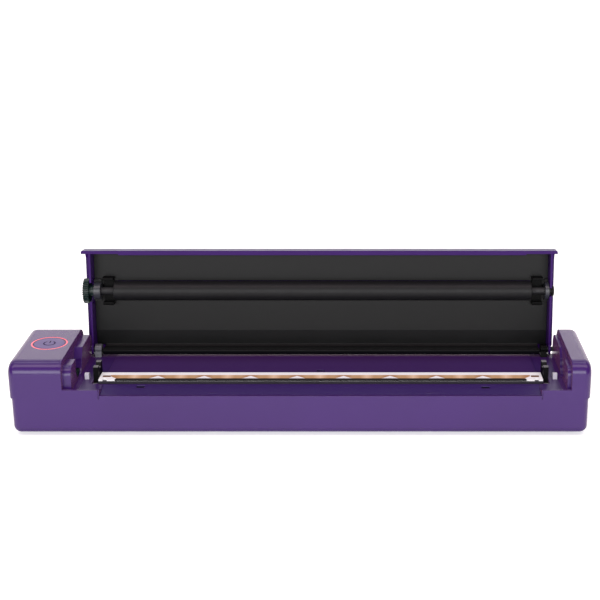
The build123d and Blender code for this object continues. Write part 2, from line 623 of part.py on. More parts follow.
def frame_plate(x, outward):
    """Upright plate with a U slot for the roller's axle and a bent foot under the bay floor."""
    half = PLATE_SPAN / 2
    horn = HORN_SPAN / 2
    shoulder = BAY_FLOOR - SKIN - PLATE_CLEARANCE
    outline = [(ROLLER_Y - half, PLATE_FOOT - 3), (ROLLER_Y + half, PLATE_FOOT), (ROLLER_Y + half, shoulder),
               (ROLLER_Y + horn, shoulder), (ROLLER_Y + horn, HORN_TOP), (ROLLER_Y - horn, HORN_TOP),
               (ROLLER_Y - horn, shoulder), (ROLLER_Y - half, shoulder)]
    plate = prism(outline, x, x + PLATE_THICK)
    plate += rod(x, x + PLATE_THICK, HEAD_PIVOT_Y, HEAD_PIVOT_Z, HEAD_PIN_RADIUS + 1.3)
    groove = rod(x - 1, x + PLATE_THICK + 1, ROLLER_Y, ROLLER_Z, PLATE_SLOT / 2)
    groove += box(x - 1, x + PLATE_THICK + 1, ROLLER_Y - PLATE_SLOT / 2, ROLLER_Y + PLATE_SLOT / 2,
                  ROLLER_Z, HORN_TOP + 5)
    plate -= groove
    plate -= rod(x - 1, x + PLATE_THICK + 1, HEAD_PIVOT_Y, HEAD_PIVOT_Z, HEAD_PIN_RADIUS + HINGE_CLEARANCE)
    edge = x if outward < 0 else x + PLATE_THICK
    x0, x1 = sorted((edge, edge + outward * PLATE_FOOT_REACH))
    foot = box(x0, x1, ROLLER_Y - 2, ROLLER_Y + half, PLATE_FOOT, PLATE_FOOT + 1.0)
    for y in PLATE_SCREW_Y:
        foot -= post(edge + outward * 3.0, y, PLATE_FOOT - 1, PLATE_FOOT + 3, SCREW_RADIUS)
    return plate + foot


def frame_screws():
    places = [(LEFT_PLATE - 3.0, y) for y in PLATE_SCREW_Y]
    places += [(RIGHT_PLATE + PLATE_THICK + 3.0, y) for y in PLATE_SCREW_Y]
    return [screw(x, y, PLATE_FOOT - 1.0, 2.1, 1.0) for x, y in places]


def bearing_rest(x):
    """Nylon peg under the front of a roller bearing, with a pin into the bay floor."""
    block = box(x - REST_WIDTH / 2, x + REST_WIDTH / 2, REST_FRONT, REST_REAR,
                BAY_FLOOR, BAY_FLOOR + REST_RISE)
    block -= rod(x - 5, x + 5, ROLLER_Y, ROLLER_Z, BEARING_RADIUS + 0.15)
    return block + post(x, REST_MIDDLE, BAY_FLOOR - SKIN, BAY_FLOOR + 0.5, REST_PIN_RADIUS)


def paper_sensors():
    """Small windows, two in the front guide and one in the deck behind the head."""
    heads = []
    for x, y in SENSOR_PLACES:
        slope = (BAY_FLOOR - FRONT_MID_TOP) / (SINK_FRONT - HEAD_GAP - WALL)
        top = FRONT_MID_TOP + slope * (y - WALL) if y < SINK_FRONT else DECK_Z - FIT
        heads.append(box(x - SENSOR_WIDTH / 2, x + SENSOR_WIDTH / 2,
                         y - SENSOR_DEPTH / 2, y + SENSOR_DEPTH / 2, top - 4, top - 0.3))
    return heads


# Thermal head

def head_heat_sink():
    """Metal bar under the ceramic, with a groove along its underside and a lug at each end."""
    bar = box(HEAD_LEFT, HEAD_RIGHT, SINK_FRONT, SINK_REAR, SINK_BOTTOM, HEAD_TOP - CERAMIC_THICK)
    bar = chamfer(bar.edges().filter_by(Axis.X).group_by(Axis.Z)[0], 0.8)
    bar -= box(HEAD_LEFT + 12, HEAD_RIGHT - 12, SPRING_Y - 3.0, SPRING_Y + SPRING_REACH + 0.5,
               SINK_BOTTOM - 1, SINK_BOTTOM + SPRING_GROOVE)
    for x0, x1 in ((HEAD_LEFT - 1, HEAD_LEFT + 6), (HEAD_RIGHT - 6, HEAD_RIGHT + 1)):
        bar -= rod(x0, x1, HEAD_PIVOT_Y, HEAD_PIVOT_Z, HEAD_PIN_RADIUS)
    return bar


def head_ceramic():
    """White board with a shallow notch at each front corner."""
    board = box(HEAD_LEFT, HEAD_RIGHT, CERAMIC_FRONT, CERAMIC_REAR, HEAD_TOP - CERAMIC_THICK, HEAD_TOP)
    for x in (HEAD_LEFT + 3.2, HEAD_RIGHT - 3.2):
        board -= box(x - 1.1, x + 1.1, CERAMIC_FRONT - 1, CERAMIC_FRONT + 1.5, HEAD_TOP - 2, HEAD_TOP + 1)
    return board


def head_driver_cover():
    return box(HEAD_LEFT + 8.5, HEAD_RIGHT - 8.5, CERAMIC_FRONT - 0.4, CERAMIC_FRONT + 1.2,
               HEAD_TOP, HEAD_TOP + 0.5)


def head_pins():
    left = rod(LEFT_PLATE - 0.6, HEAD_LEFT + 6, HEAD_PIVOT_Y, HEAD_PIVOT_Z, HEAD_PIN_RADIUS)
    right = rod(HEAD_RIGHT - 6, RIGHT_PLATE + PLATE_THICK + 0.6, HEAD_PIVOT_Y, HEAD_PIVOT_Z, HEAD_PIN_RADIUS)
    return [left, right]


def head_springs():
    """C shaped leaf springs that push the back of the head up from their pedestals."""
    strips = []
    low = SPRING_BASE
    high = SINK_BOTTOM + SPRING_GROOVE - SPRING_CLEARANCE
    middle = (low + high) / 2
    bend = (high - low) / 2
    for x in SPRING_PLACES:
        x0, x1 = x - SPRING_WIDTH / 2, x + SPRING_WIDTH / 2
        strip = rod(x0, x1, SPRING_Y, middle, bend)
        strip += box(x0, x1, SPRING_Y, SPRING_Y + SPRING_REACH, low, high)
        strip -= rod(x0 - 1, x1 + 1, SPRING_Y, middle, bend - SPRING_STRIP)
        strip -= box(x0 - 1, x1 + 1, SPRING_Y, SPRING_Y + SPRING_REACH + 1,
                     low + SPRING_STRIP, high - SPRING_STRIP)
        strips.append(strip)
    return strips


# Lid

def lid_profile(inset, bottom):
    """Section of the lid from the front lip over the top to the rear wall, or the same moved inwards."""
    front = inset
    rear = LID_REAR - inset
    top = BODY_HEIGHT - inset
    front_radius = TOP_RADIUS - inset
    rear_radius = LID_REAR_RADIUS - inset
    corner = math.sqrt(0.5)
    front_arc = ThreePointArc((front, top - front_radius),
                              (front + front_radius * (1 - corner), top - front_radius * (1 - corner)),
                              (front + front_radius, top))
    rear_arc = ThreePointArc((rear - rear_radius, top),
                             (rear - rear_radius * (1 - corner), top - rear_radius * (1 - corner)),
                             (rear, top - rear_radius))
    lines = [Line((front, bottom), (front, top - front_radius)), front_arc,
             Line((front + front_radius, top), (rear - rear_radius, top)), rear_arc,
             Line((rear, top - rear_radius), (rear, bottom)), Line((rear, bottom), (front, bottom))]
    return make_face(Curve() + lines)


def lid_shell():
    """Skin with a front lip, overhanging edges, inset side walls and hinge ears."""
    low = BAY_FLOOR - 2.6
    skin = extrude(Plane.YZ.offset(LID_LEFT) * lid_profile(0, low), LID_RIGHT - LID_LEFT)
    corners = skin.edges().filter_by(Axis.Z).sort_by(Axis.Y)[:2]
    skin = fillet(corners, 0.9)
    hollow = Plane.YZ.offset(LID_LEFT - 1) * lid_profile(LID_SHELL, low - 1)
    skin -= extrude(hollow, LID_RIGHT - LID_LEFT + 2)
    skin -= box(LID_LEFT - 1, LID_RIGHT + 1, -1, 10, low - 2, LIP_BOTTOM)
    skin -= box(LID_LEFT - 1, LID_RIGHT + 1, 10, LID_REAR + 1, low - 2, REAR_WALL_BOTTOM)
    # Only the top overhangs the side walls behind the lip
    under_top = BODY_HEIGHT - LID_SHELL
    skin -= box(LID_LEFT - 1, WALL_LEFT, 10, LID_REAR + 1, low, under_top)
    skin -= box(WALL_RIGHT, LID_RIGHT + 1, 10, LID_REAR + 1, low, under_top)
    # Thicker band along the lip above the paper slot
    band = box(SLOT_LEFT + 2.5, SLOT_RIGHT - 2.9, LID_SHELL, LID_SHELL + LIP_BAND, LIP_BOTTOM, LINER_Z)
    skin += band
    for x in (WALL_LEFT, WALL_RIGHT - WALL_THICK):
        skin += side_wall(x)
    # Room for the gear, the axle and the hinge blocks
    pocket = ROLLER_GEAR_TIP + 0.2
    skin -= rod(LID_LEFT - 1, WALL_LEFT + WALL_THICK + 0.1, ROLLER_Y, ROLLER_Z, pocket)
    slot = SHAFT_RADIUS + 0.3
    skin -= rod(WALL_RIGHT - 3, WALL_RIGHT + 1, ROLLER_Y, ROLLER_Z, slot)
    skin -= box(WALL_RIGHT - 3, WALL_RIGHT + 1, ROLLER_Y - slot, ROLLER_Y + slot, low, ROLLER_Z)
    relief = 5.2
    left_inner = WALL_LEFT + WALL_THICK
    right_inner = WALL_RIGHT - WALL_THICK
    skin -= rod(left_inner, LEFT_BLOCK + HINGE_BLOCK + 0.5, HINGE_Y, HINGE_Z, relief)
    skin -= rod(RIGHT_BLOCK - 0.5, right_inner, HINGE_Y, HINGE_Z, relief)
    return skin


def side_wall(x):
    """Side wall of the lid, with the hinge ear at its back corner."""
    top = BODY_HEIGHT - LID_SHELL / 2
    inner = Plane.YZ.offset(x) * lid_profile(LID_SHELL / 2, WALL_BOTTOM)
    wall = extrude(inner, WALL_THICK)
    ear_front = HINGE_Y - EAR_RADIUS
    wall -= box(x - 1, x + WALL_THICK + 1, ear_front, LID_REAR + 1, 0, HINGE_Z)
    wall += rod(x, x + WALL_THICK, HINGE_Y, HINGE_Z, EAR_RADIUS - 0.1)
    wall -= rod(x - 1, x + WALL_THICK + 1, HINGE_Y, HINGE_Z, HINGE_PIN_RADIUS + HINGE_CLEARANCE)
    return wall & box(x, x + WALL_THICK, 0, LID_REAR, 0, top)


def lid_liner():
    """Black tray under the lid's skin, slotted for the roller, with a rounded paper guide at the hinge."""
    left = WALL_LEFT + WALL_THICK + 0.1
    right = WALL_RIGHT - WALL_THICK - 0.1
    top = BODY_HEIGHT - LID_SHELL - 0.05
    t = LINER_THICK
    sheet = [(LINER_FRONT, LINER_Z), (LINER_BEND_Y, LINER_Z), (LINER_END_Y, LINER_Z + LINER_RISE),
             (LINER_END_Y, LINER_Z + LINER_RISE + t), (LINER_BEND_Y - 0.2, LINER_Z + t),
             (LINER_FRONT, LINER_Z + t)]
    tray = prism(sheet, left, right)
    # Apron down the rear wall and the guide round the hinge axis, clear of the hinge blocks
    x0, x1 = LEFT_BLOCK + HINGE_BLOCK + 0.5, RIGHT_BLOCK - 0.5
    back = LID_REAR - LID_SHELL - 0.1
    front = back - APRON_THICK
    shelf = REAR_WALL_BOTTOM - FIT
    apron = [(LINER_END_Y - 0.5, LINER_Z + LINER_RISE), (front, LINER_Z - 0.4), (front, HINGE_Z),
             (HINGE_Y + GUIDE_RADIUS, HINGE_Z), (HINGE_Y + GUIDE_RADIUS, shelf), (back, shelf),
             (back, LINER_Z - 1.2), (back - 0.3, LINER_Z), (LINER_END_Y, LINER_Z + LINER_RISE + t)]
    tray += prism(apron, x0, x1)
    guide = rod(x0, x1, HINGE_Y, HINGE_Z, GUIDE_RADIUS)
    tray += guide & box(x0, x1, HINGE_Y, HINGE_Y + GUIDE_RADIUS + 1, HINGE_Z - GUIDE_RADIUS - 1, HINGE_Z)
    edge = [(LINER_FRONT + 4, LINER_Z), (LINER_BEND_Y, LINER_Z), (LINER_END_Y - 4, top - 1.5),
            (LINER_END_Y - 4, top), (LINER_FRONT + 4, top)]
    tray += prism(edge, left, left + t) + prism(edge, right - t, right)
    # Slot of the roller, with an upright rim round it
    slot = ROLLER_RADIUS - 0.25
    x0, x1 = RUBBER_LEFT - 0.4, RUBBER_RIGHT + 0.4
    tray += box(x0 - t, x1 + t, ROLLER_Y - slot - t, ROLLER_Y + slot + t, LINER_Z, top)
    tray -= box(x0, x1, ROLLER_Y - slot, ROLLER_Y + slot, LINER_Z - 1, top + 1)
    # Saddles that hold the bearings
    for x in ((left, LEFT_BEARING + BEARING_LENGTH), (RIGHT_BEARING, right)):
        saddle = box(x[0], x[1], ROLLER_Y - BEARING_RADIUS - 1.4, ROLLER_Y + BEARING_RADIUS + 1.4,
                     ROLLER_Z + 1.6, top)
        tray += saddle
        tray -= rod(x[0] - 1, x[1] + 1, ROLLER_Y, ROLLER_Z, BEARING_RADIUS + 0.02)
    return tray


def bracket(x):
    """Channel that the axle runs through; its arms straddle the frame plate's horns."""
    half = BRACKET_SPAN / 2
    gap = BRACKET_GAP / 2
    block = box(x, x + BRACKET_LENGTH, ROLLER_Y - half, ROLLER_Y + half, BRACKET_BOTTOM, LINER_Z)
    block = fillet(block.edges().filter_by(Axis.X).group_by(Axis.Z)[0], 0.8)
    block -= box(x - 1, x + BRACKET_LENGTH + 1, ROLLER_Y - gap, ROLLER_Y + gap,
                 BRACKET_BOTTOM - 1, BRACKET_CEILING)
    return block


def bearing(x0, x1):
    """Plain bearing bush of the axle."""
    bush = rod(x0, x1, ROLLER_Y, ROLLER_Z, BEARING_RADIUS)
    return bush - rod(x0 - 1, x1 + 1, ROLLER_Y, ROLLER_Z, SHAFT_RADIUS + SHAFT_CLEARANCE)


# Roller

def platen_shaft():
    core = rod(RUBBER_LEFT, RUBBER_RIGHT, ROLLER_Y, ROLLER_Z, ROLLER_CORE_RADIUS)
    left_end = ROLLER_GEAR_X - 0.8
    right_end = WALL_RIGHT + 0.3 + END_CAP_LENGTH - 0.3
    axle = rod(left_end, right_end, ROLLER_Y, ROLLER_Z, SHAFT_RADIUS)
    return core + axle


def platen_rubber():
    sleeve = rod(RUBBER_LEFT, RUBBER_RIGHT, ROLLER_Y, ROLLER_Z, ROLLER_RADIUS)
    sleeve = chamfer(sleeve.edges(), 0.3)
    return sleeve - rod(RUBBER_LEFT - 1, RUBBER_RIGHT + 1, ROLLER_Y, ROLLER_Z, ROLLER_CORE_RADIUS)


ROLLER_START = ROLLER_TO_DRIVE_ANGLE
DRIVE_START = meshing_start(ROLLER_START, ROLLER_TEETH, ROLLER_TO_DRIVE_ANGLE, DRIVE_TEETH)
SMALL_START = meshing_start(DRIVE_START, DRIVE_TEETH, DRIVE_TO_REDUCTION_ANGLE, SMALL_TEETH)
PINION_START = meshing_start(SMALL_START, LARGE_TEETH, REDUCTION_TO_MOTOR_ANGLE, PINION_TEETH)


def platen_gear():
    """Roller gear with a dished face and a hub against the bearing."""
    x0 = ROLLER_GEAR_X
    x1 = x0 + ROLLER_GEAR_WIDTH
    wheel = gear(ROLLER_TEETH, ROLLER_CENTRE, ROLLER_START, x0, x1)
    wheel -= rod(x1 - GEAR_DISH, x1 + 1, *ROLLER_CENTRE, 5.0)
    wheel -= rod(x0 - 1, x0 + GEAR_DISH, *ROLLER_CENTRE, 5.0) - rod(x0 - 2, x0 + 1, *ROLLER_CENTRE, 3.2)
    wheel += rod(x1 - GEAR_DISH, LEFT_BEARING - 0.15, *ROLLER_CENTRE, GEAR_HUB_RADIUS)
    return wheel - rod(x0 - 1, LEFT_BEARING + 1, *ROLLER_CENTRE, SHAFT_RADIUS)


def platen_end_cap():
    """Retaining disc on the right end of the axle."""
    x0 = WALL_RIGHT + 0.3
    x1 = x0 + END_CAP_LENGTH
    disc = rod(x0, x1, *ROLLER_CENTRE, END_CAP_RADIUS)
    disc = chamfer(disc.edges().group_by(Axis.X)[-1], 0.4)
    return disc - rod(x0 - 1, x1 - 0.3, *ROLLER_CENTRE, SHAFT_RADIUS)


# Gear train

def drive_gear():
    x0, x1 = DRIVE_GEAR_X, DRIVE_GEAR_X + DRIVE_GEAR_WIDTH
    wheel = gear(DRIVE_TEETH, DRIVE_CENTRE, DRIVE_START, x0, x1)
    wheel -= rod(x1 - GEAR_DISH, x1 + 1, *DRIVE_CENTRE, 6.4)
    return wheel - rod(x0 - 1, x1 + 1, *DRIVE_CENTRE, POST_RADIUS + SHAFT_CLEARANCE)


def reduction_gear():
    """Compound gear: a large wheel that the motor drives, a hub, and a small wheel on the drive gear."""
    hub_x = LARGE_GEAR_X + LARGE_GEAR_WIDTH
    small_end = SMALL_GEAR_X + SMALL_GEAR_WIDTH
    large = gear(LARGE_TEETH, REDUCTION_CENTRE, SMALL_START, LARGE_GEAR_X, hub_x)
    hub = rod(hub_x, SMALL_GEAR_X, *REDUCTION_CENTRE, GEAR_HUB_RADIUS)
    small = gear(SMALL_TEETH, REDUCTION_CENTRE, SMALL_START, SMALL_GEAR_X, small_end)
    bore = rod(LARGE_GEAR_X - 1, small_end + 1, *REDUCTION_CENTRE, POST_RADIUS + SHAFT_CLEARANCE)
    return large + hub + small - bore


def motor_pinion():
    x0 = LARGE_GEAR_X - 0.2
    x1 = LARGE_GEAR_X + LARGE_GEAR_WIDTH
    wheel = gear(PINION_TEETH, MOTOR_CENTRE, PINION_START, x0, x1)
    return wheel - rod(x0 - 1, x1 + 1, *MOTOR_CENTRE, MOTOR_SHAFT_RADIUS)


def gear_plate():
    """Bent steel plate that carries the motor on one side and the gear posts on the other."""
    right = GEAR_PLATE_X + GEAR_PLATE_THICK
    rear = BODY_DEPTH - WALL - FIT - LIP_THICK - 0.3
    top = max(DRIVE_CENTRE[1], REDUCTION_CENTRE[1], MOTOR_CENTRE[1] + MOTOR_EAR_SPAN / 2) + 3.0
    outline = [(GEAR_PLATE_FRONT, COVER_FLOOR), (rear, COVER_FLOOR), (rear, top - 5), (rear - 6, top),
               (GEAR_PLATE_FRONT + 19, top), (GEAR_PLATE_FRONT, top - 10)]
    plate = prism(outline, GEAR_PLATE_X, right)
    for x, y in GEAR_PLATE_SCREWS:
        tab = GEAR_PLATE_TAB / 2
        plate += box(right, right + GEAR_PLATE_FOOT + 2.5, y - tab, y + tab,
                     COVER_FLOOR, COVER_FLOOR + GEAR_PLATE_THICK)
        plate -= post(x, y, 0, COVER_FLOOR + 3, SCREW_RADIUS)
    for centre in (DRIVE_CENTRE, REDUCTION_CENTRE):
        plate -= rod(GEAR_PLATE_X - 1, right + 1, *centre, POST_RADIUS)
    plate -= rod(GEAR_PLATE_X - 1, right + 1, *MOTOR_CENTRE, 3.0)
    for y, z in MOTOR_EARS:
        plate -= rod(GEAR_PLATE_X - 1, right + 1, y, z, 1.0)
    return plate


MOTOR_EARS = [polar(MOTOR_CENTRE, MOTOR_EAR_ANGLE + turn, MOTOR_EAR_SPAN / 2) for turn in (0, 180)]


def gear_posts():
    ends = ((DRIVE_CENTRE, DRIVE_GEAR_X + DRIVE_GEAR_WIDTH),
            (REDUCTION_CENTRE, SMALL_GEAR_X + SMALL_GEAR_WIDTH + 0.2))
    return [rod(GEAR_PLATE_X, end, *centre, POST_RADIUS) for centre, end in ends]


def gear_clip():
    """Split ring in the drive gear's dish, which keeps the gear on its post."""
    x0 = DRIVE_GEAR_X + DRIVE_GEAR_WIDTH - GEAR_DISH + FIT
    x1 = x0 + CLIP_THICK
    y, z = DRIVE_CENTRE
    ring = rod(x0, x1, y, z, POST_RADIUS + CLIP_WIDTH) - rod(x0 - 1, x1 + 1, y, z, POST_RADIUS)
    return ring - box(x0 - 1, x1 + 1, y - POST_RADIUS / 2, y + POST_RADIUS / 2, z, BODY_HEIGHT)


def stepper_motor():
    x1 = GEAR_PLATE_X
    can = rod(x1 - MOTOR_LENGTH, x1 - 0.8, *MOTOR_CENTRE, MOTOR_RADIUS)
    can = chamfer(can.edges().group_by(Axis.X)[0], 0.8)
    ears = Pos(x1 - 0.8, *MOTOR_CENTRE) * Rot(MOTOR_EAR_ANGLE, 0, 0)
    flange = ears * extrude(Plane.YZ * SlotCenterToCenter(MOTOR_EAR_SPAN, MOTOR_EAR_WIDTH), 0.8)
    motor = can + flange + rod(x1 - 0.8, x1, *MOTOR_CENTRE, MOTOR_RADIUS)
    motor += rod(x1 - 1, x1 + 0.8, *MOTOR_CENTRE, 2.9)
    for y, z in MOTOR_EARS:
        motor -= rod(x1 - 5, x1 + 1, y, z, 1.0)
    return motor


def motor_shaft():
    return rod(GEAR_PLATE_X + 0.85, LARGE_GEAR_X + LARGE_GEAR_WIDTH + 0.3, *MOTOR_CENTRE, MOTOR_SHAFT_RADIUS)


def motor_screws():
    screws = []
    for y, z in MOTOR_EARS:
        head = rod(GEAR_PLATE_X - 1.8, GEAR_PLATE_X - 0.8, y, z, 1.8)
        screws.append(head + rod(GEAR_PLATE_X - 1.8, GEAR_PLATE_X + GEAR_PLATE_THICK + 0.6, y, z, 0.95))
    return screws


# Power button

def power_button():
    """Round cap flush with the top, with a retaining skirt and a stem over the switch."""
    cap_radius = RING_RADIUS - RING_WIDTH - FIT
    cap = post(BUTTON_X, BUTTON_Y, BODY_HEIGHT - CAP_THICK, BODY_HEIGHT, cap_radius)
    cap = chamfer(cap.edges().group_by(Axis.Z)[-1], 0.25)
    skirt_top = BODY_HEIGHT - RING_DEPTH - 0.1
    cap += post(BUTTON_X, BUTTON_Y, skirt_top - 0.8, BODY_HEIGHT - CAP_THICK, cap_radius - 1.6)
    cap += post(BUTTON_X, BUTTON_Y, skirt_top - 0.8, skirt_top, cap_radius + 0.7)
    return cap + post(BUTTON_X, BUTTON_Y, STEM_END, skirt_top, STEM_RADIUS)


def light_ring():
    """Light guide round the button, with a flange under the block's top."""
    bore = RING_RADIUS - RING_WIDTH
    ring = post(BUTTON_X, BUTTON_Y, BODY_HEIGHT - RING_DEPTH, BODY_HEIGHT, RING_RADIUS)
    ring += post(BUTTON_X, BUTTON_Y, BODY_HEIGHT - RING_DEPTH, BLOCK_CEILING, RING_RADIUS + RING_FLANGE)
    return ring - post(BUTTON_X, BUTTON_Y, 0, BODY_HEIGHT + 1, bore)


def button_board():
    """Small board hung under the button from two pillars."""
    board = box(BUTTON_X - 8.0, BUTTON_X + 5.2, BUTTON_Y - 17.0, BUTTON_Y + 17.0,
                BUTTON_BOARD_Z, BUTTON_BOARD_Z + BUTTON_BOARD)
    for y in BUTTON_PILLARS:
        board -= post(BUTTON_X, y, BUTTON_BOARD_Z - 1, BUTTON_BOARD_Z + BUTTON_BOARD + 1, 1.0)
    return board


def button_board_screws():
    low = BUTTON_BOARD_Z - 0.9
    return [post(BUTTON_X, y, low, BUTTON_BOARD_Z, 1.8) + post(BUTTON_X, y, low, low + 5.5, 0.85)
            for y in BUTTON_PILLARS]


def button_switch():
    half = SWITCH_SIDE / 2
    body = box(BUTTON_X - half, BUTTON_X + half, BUTTON_Y - half, BUTTON_Y + half,
               BUTTON_BOARD_Z + BUTTON_BOARD, SWITCH_TOP - 0.5)
    return body + post(BUTTON_X, BUTTON_Y, SWITCH_TOP - 0.6, SWITCH_TOP, 1.6)


# Electronics

def battery_pack(k):
    """Flat lithium pack with a folded end."""
    x0, x1 = pack_span(k)
    y0, y1 = PACK_REAR - PACK_DEPTH, PACK_REAR
    pack = box(x0, x1 - 3, y0, y1, COVER_FLOOR, PACK_TOP)
    pack = chamfer(pack.edges().filter_by(Axis.X), 1.2)
    return pack + box(x1 - 3, x1, y0 + 2, y1 - 2, COVER_FLOOR, COVER_FLOOR + (PACK_TOP - COVER_FLOOR) / 2)


def main_board():
    """Board with its chips and sockets, and a notch for the corner boss."""
    top = BOARD_Z + BOARD_THICK
    board = box(BOARD_LEFT, BOARD_RIGHT, BOARD_FRONT, BOARD_REAR, BOARD_Z, top)
    for x, y in BOARD_POSTS:
        board -= post(x, y, 0, top + 1, 1.1)
    chips = ((22, 10, 6, 10, 1.2), (40, 7, 3, 7, 1.0), (8, 10, 14, 5, 4.0), (52, 14, 15, 4.5, 5.0))
    for dx, length, dy, depth, height in chips:
        x, y = BOARD_LEFT + dx, BOARD_FRONT + dy
        board += box(x, x + length, y, y + depth, top, top + height)
    for dx in (38, 45):
        board += post(BOARD_LEFT + dx, BOARD_FRONT + 15, top, top + 6.5, 2.6)
    return board


def charging_socket():
    top = SOCKET_Z
    x0 = BOARD_RIGHT - 5
    shell = box(x0, x0 + SOCKET_LENGTH, SOCKET_Y - SOCKET_WIDTH / 2, SOCKET_Y + SOCKET_WIDTH / 2,
                top, top + SOCKET_HEIGHT)
    shell = fillet(shell.edges().filter_by(Axis.X), 1.4)
    mouth = box(x0 + 1.5, x0 + SOCKET_LENGTH + 1, SOCKET_Y - SOCKET_WIDTH / 2 + 0.4,
                SOCKET_Y + SOCKET_WIDTH / 2 - 0.4, top + 0.4, top + SOCKET_HEIGHT - 0.4)
    shell -= fillet(mouth.edges().filter_by(Axis.X), 1.1)
    tongue = box(x0 + 1, x0 + SOCKET_LENGTH - 1, SOCKET_Y - 3.3, SOCKET_Y + 3.3, top + 1.25, top + 1.95)
    return shell + tongue


def board_screws():
    screws = []
    for x, y in BOARD_POSTS:
        top = BOARD_Z + BOARD_THICK
        shank = post(x, y, BOARD_Z - 3, top + 0.5, SMALL_SCREW_RADIUS - 0.05)
        screws.append(post(x, y, top, top + 0.9, 1.9) + shank)
    return screws


# Hinge

def hinge_block(x0, x1):
    """Lug on the bay floor that carries the inner end of a hinge pin."""
    lug = rod(x0, x1, HINGE_Y, HINGE_Z, EAR_RADIUS - 0.3)
    rear = HINGE_Y + 2.2
    fall = (BAY_FLOOR - DECK_TAIL_Z) / (BODY_DEPTH - DECK_BREAK_Y)
    foot = [(HINGE_Y - 3.6, BAY_FLOOR), (HINGE_Y - 2.6, HINGE_Z), (rear, HINGE_Z),
            (rear, BAY_FLOOR - fall * (rear - DECK_BREAK_Y)), (DECK_BREAK_Y, BAY_FLOOR)]
    lug += prism(foot, x0, x1)
    return lug - rod(x0 - 1, x1 + 1, HINGE_Y, HINGE_Z, HINGE_PIN_RADIUS)


def hinge_pins():
    left = rod(LEFT_RIM + 0.4, LEFT_BLOCK + HINGE_BLOCK, HINGE_Y, HINGE_Z, HINGE_PIN_RADIUS)
    right = rod(RIGHT_BLOCK, RIGHT_RIM + 1.0, HINGE_Y, HINGE_Z, HINGE_PIN_RADIUS)
    return [left, right]


# Written nodes: the fixed body
save("upper_housing", upper_housing())
save("bottom_cover", bottom_cover())
save("rubber_feet", *rubber_feet())
save("housing_screws", *[screw(x, y, SCREW_SINK, SCREW_LENGTH) for x, y in SCREW_PLACES])
save("left_frame_plate", frame_plate(LEFT_PLATE, -1))
save("right_frame_plate", frame_plate(RIGHT_PLATE, 1))
save("frame_screws", *frame_screws())
save("left_bearing_rest", bearing_rest(REST_PLACES[0]))
save("right_bearing_rest", bearing_rest(REST_PLACES[1]))
save("paper_sensors", *paper_sensors())
save("left_hinge_block", hinge_block(LEFT_BLOCK, LEFT_BLOCK + HINGE_BLOCK))
save("right_hinge_block", hinge_block(RIGHT_BLOCK, RIGHT_BLOCK + HINGE_BLOCK))
save("hinge_pins", *hinge_pins())
save("gear_plate", gear_plate())
save("gear_plate_screws", *[screw(x, y, SCREW_SINK, COVER_FLOOR + 1.5, 0.9) for x, y in GEAR_PLATE_SCREWS])
save("gear_posts", *gear_posts())
save("gear_clip", gear_clip())
save("stepper_motor", stepper_motor())
save("motor_screws", *motor_screws())
save("light_ring", light_ring())
save("button_board", button_board())
save("button_board_screws", *button_board_screws())
save("button_switch", button_switch())
save("battery_pack", battery_pack(0), battery_pack(1))
save("main_board", main_board())
save("board_screws", *board_screws())
save("charging_socket", charging_socket())

# Written nodes: the gears, the head and the button
save("drive_gear", drive_gear())
save("reduction_gear", reduction_gear())
save("motor_pinion", motor_pinion())
save("motor_shaft", motor_shaft())
save("head_heat_sink", head_heat_sink())
save("head_ceramic", head_ceramic())
save("head_driver_cover", head_driver_cover())
save("head_pins", *head_pins())
save("head_springs", *head_springs())
save("power_button", power_button())

# Written nodes: the lid and the roller, turned open
save("lid_shell", opened(lid_shell()))
save("lid_liner", opened(lid_liner()))
save("left_bracket", opened(bracket(LEFT_BRACKET)))
save("right_bracket", opened(bracket(RIGHT_BRACKET)))
save("left_bearing", opened(bearing(LEFT_BEARING, LEFT_BEARING + BEARING_LENGTH)))
save("right_bearing", opened(bearing(RIGHT_BEARING, RIGHT_BEARING_END)))
save("platen_shaft", opened(platen_shaft()))
save("platen_rubber", opened(platen_rubber()))
save("platen_gear", opened(platen_gear()))
save("platen_end_cap", opened(platen_end_cap()))
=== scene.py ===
import math

import bmesh
import bpy
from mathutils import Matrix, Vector


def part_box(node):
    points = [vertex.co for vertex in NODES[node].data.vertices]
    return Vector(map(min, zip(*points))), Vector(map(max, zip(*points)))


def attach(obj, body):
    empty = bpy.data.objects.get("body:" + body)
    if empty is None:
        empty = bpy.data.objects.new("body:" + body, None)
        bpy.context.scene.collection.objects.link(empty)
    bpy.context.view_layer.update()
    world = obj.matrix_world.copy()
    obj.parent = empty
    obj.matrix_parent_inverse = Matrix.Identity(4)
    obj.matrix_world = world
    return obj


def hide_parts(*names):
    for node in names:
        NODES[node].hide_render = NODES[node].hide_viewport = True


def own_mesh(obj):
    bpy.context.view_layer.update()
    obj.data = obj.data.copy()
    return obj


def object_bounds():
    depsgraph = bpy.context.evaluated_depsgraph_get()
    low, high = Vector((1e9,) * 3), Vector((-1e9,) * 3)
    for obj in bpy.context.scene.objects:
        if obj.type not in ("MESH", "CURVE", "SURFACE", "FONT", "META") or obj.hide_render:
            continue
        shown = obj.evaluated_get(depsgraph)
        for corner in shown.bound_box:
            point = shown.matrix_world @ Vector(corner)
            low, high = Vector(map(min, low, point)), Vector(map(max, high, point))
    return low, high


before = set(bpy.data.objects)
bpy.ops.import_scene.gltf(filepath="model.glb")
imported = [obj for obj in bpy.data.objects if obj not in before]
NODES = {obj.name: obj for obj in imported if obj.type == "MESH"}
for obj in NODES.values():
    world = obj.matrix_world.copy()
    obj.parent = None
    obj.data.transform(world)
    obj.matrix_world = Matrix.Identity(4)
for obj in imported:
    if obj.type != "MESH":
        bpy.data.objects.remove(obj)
CAD_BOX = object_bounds()
MM = 0.001

# Places on the solids

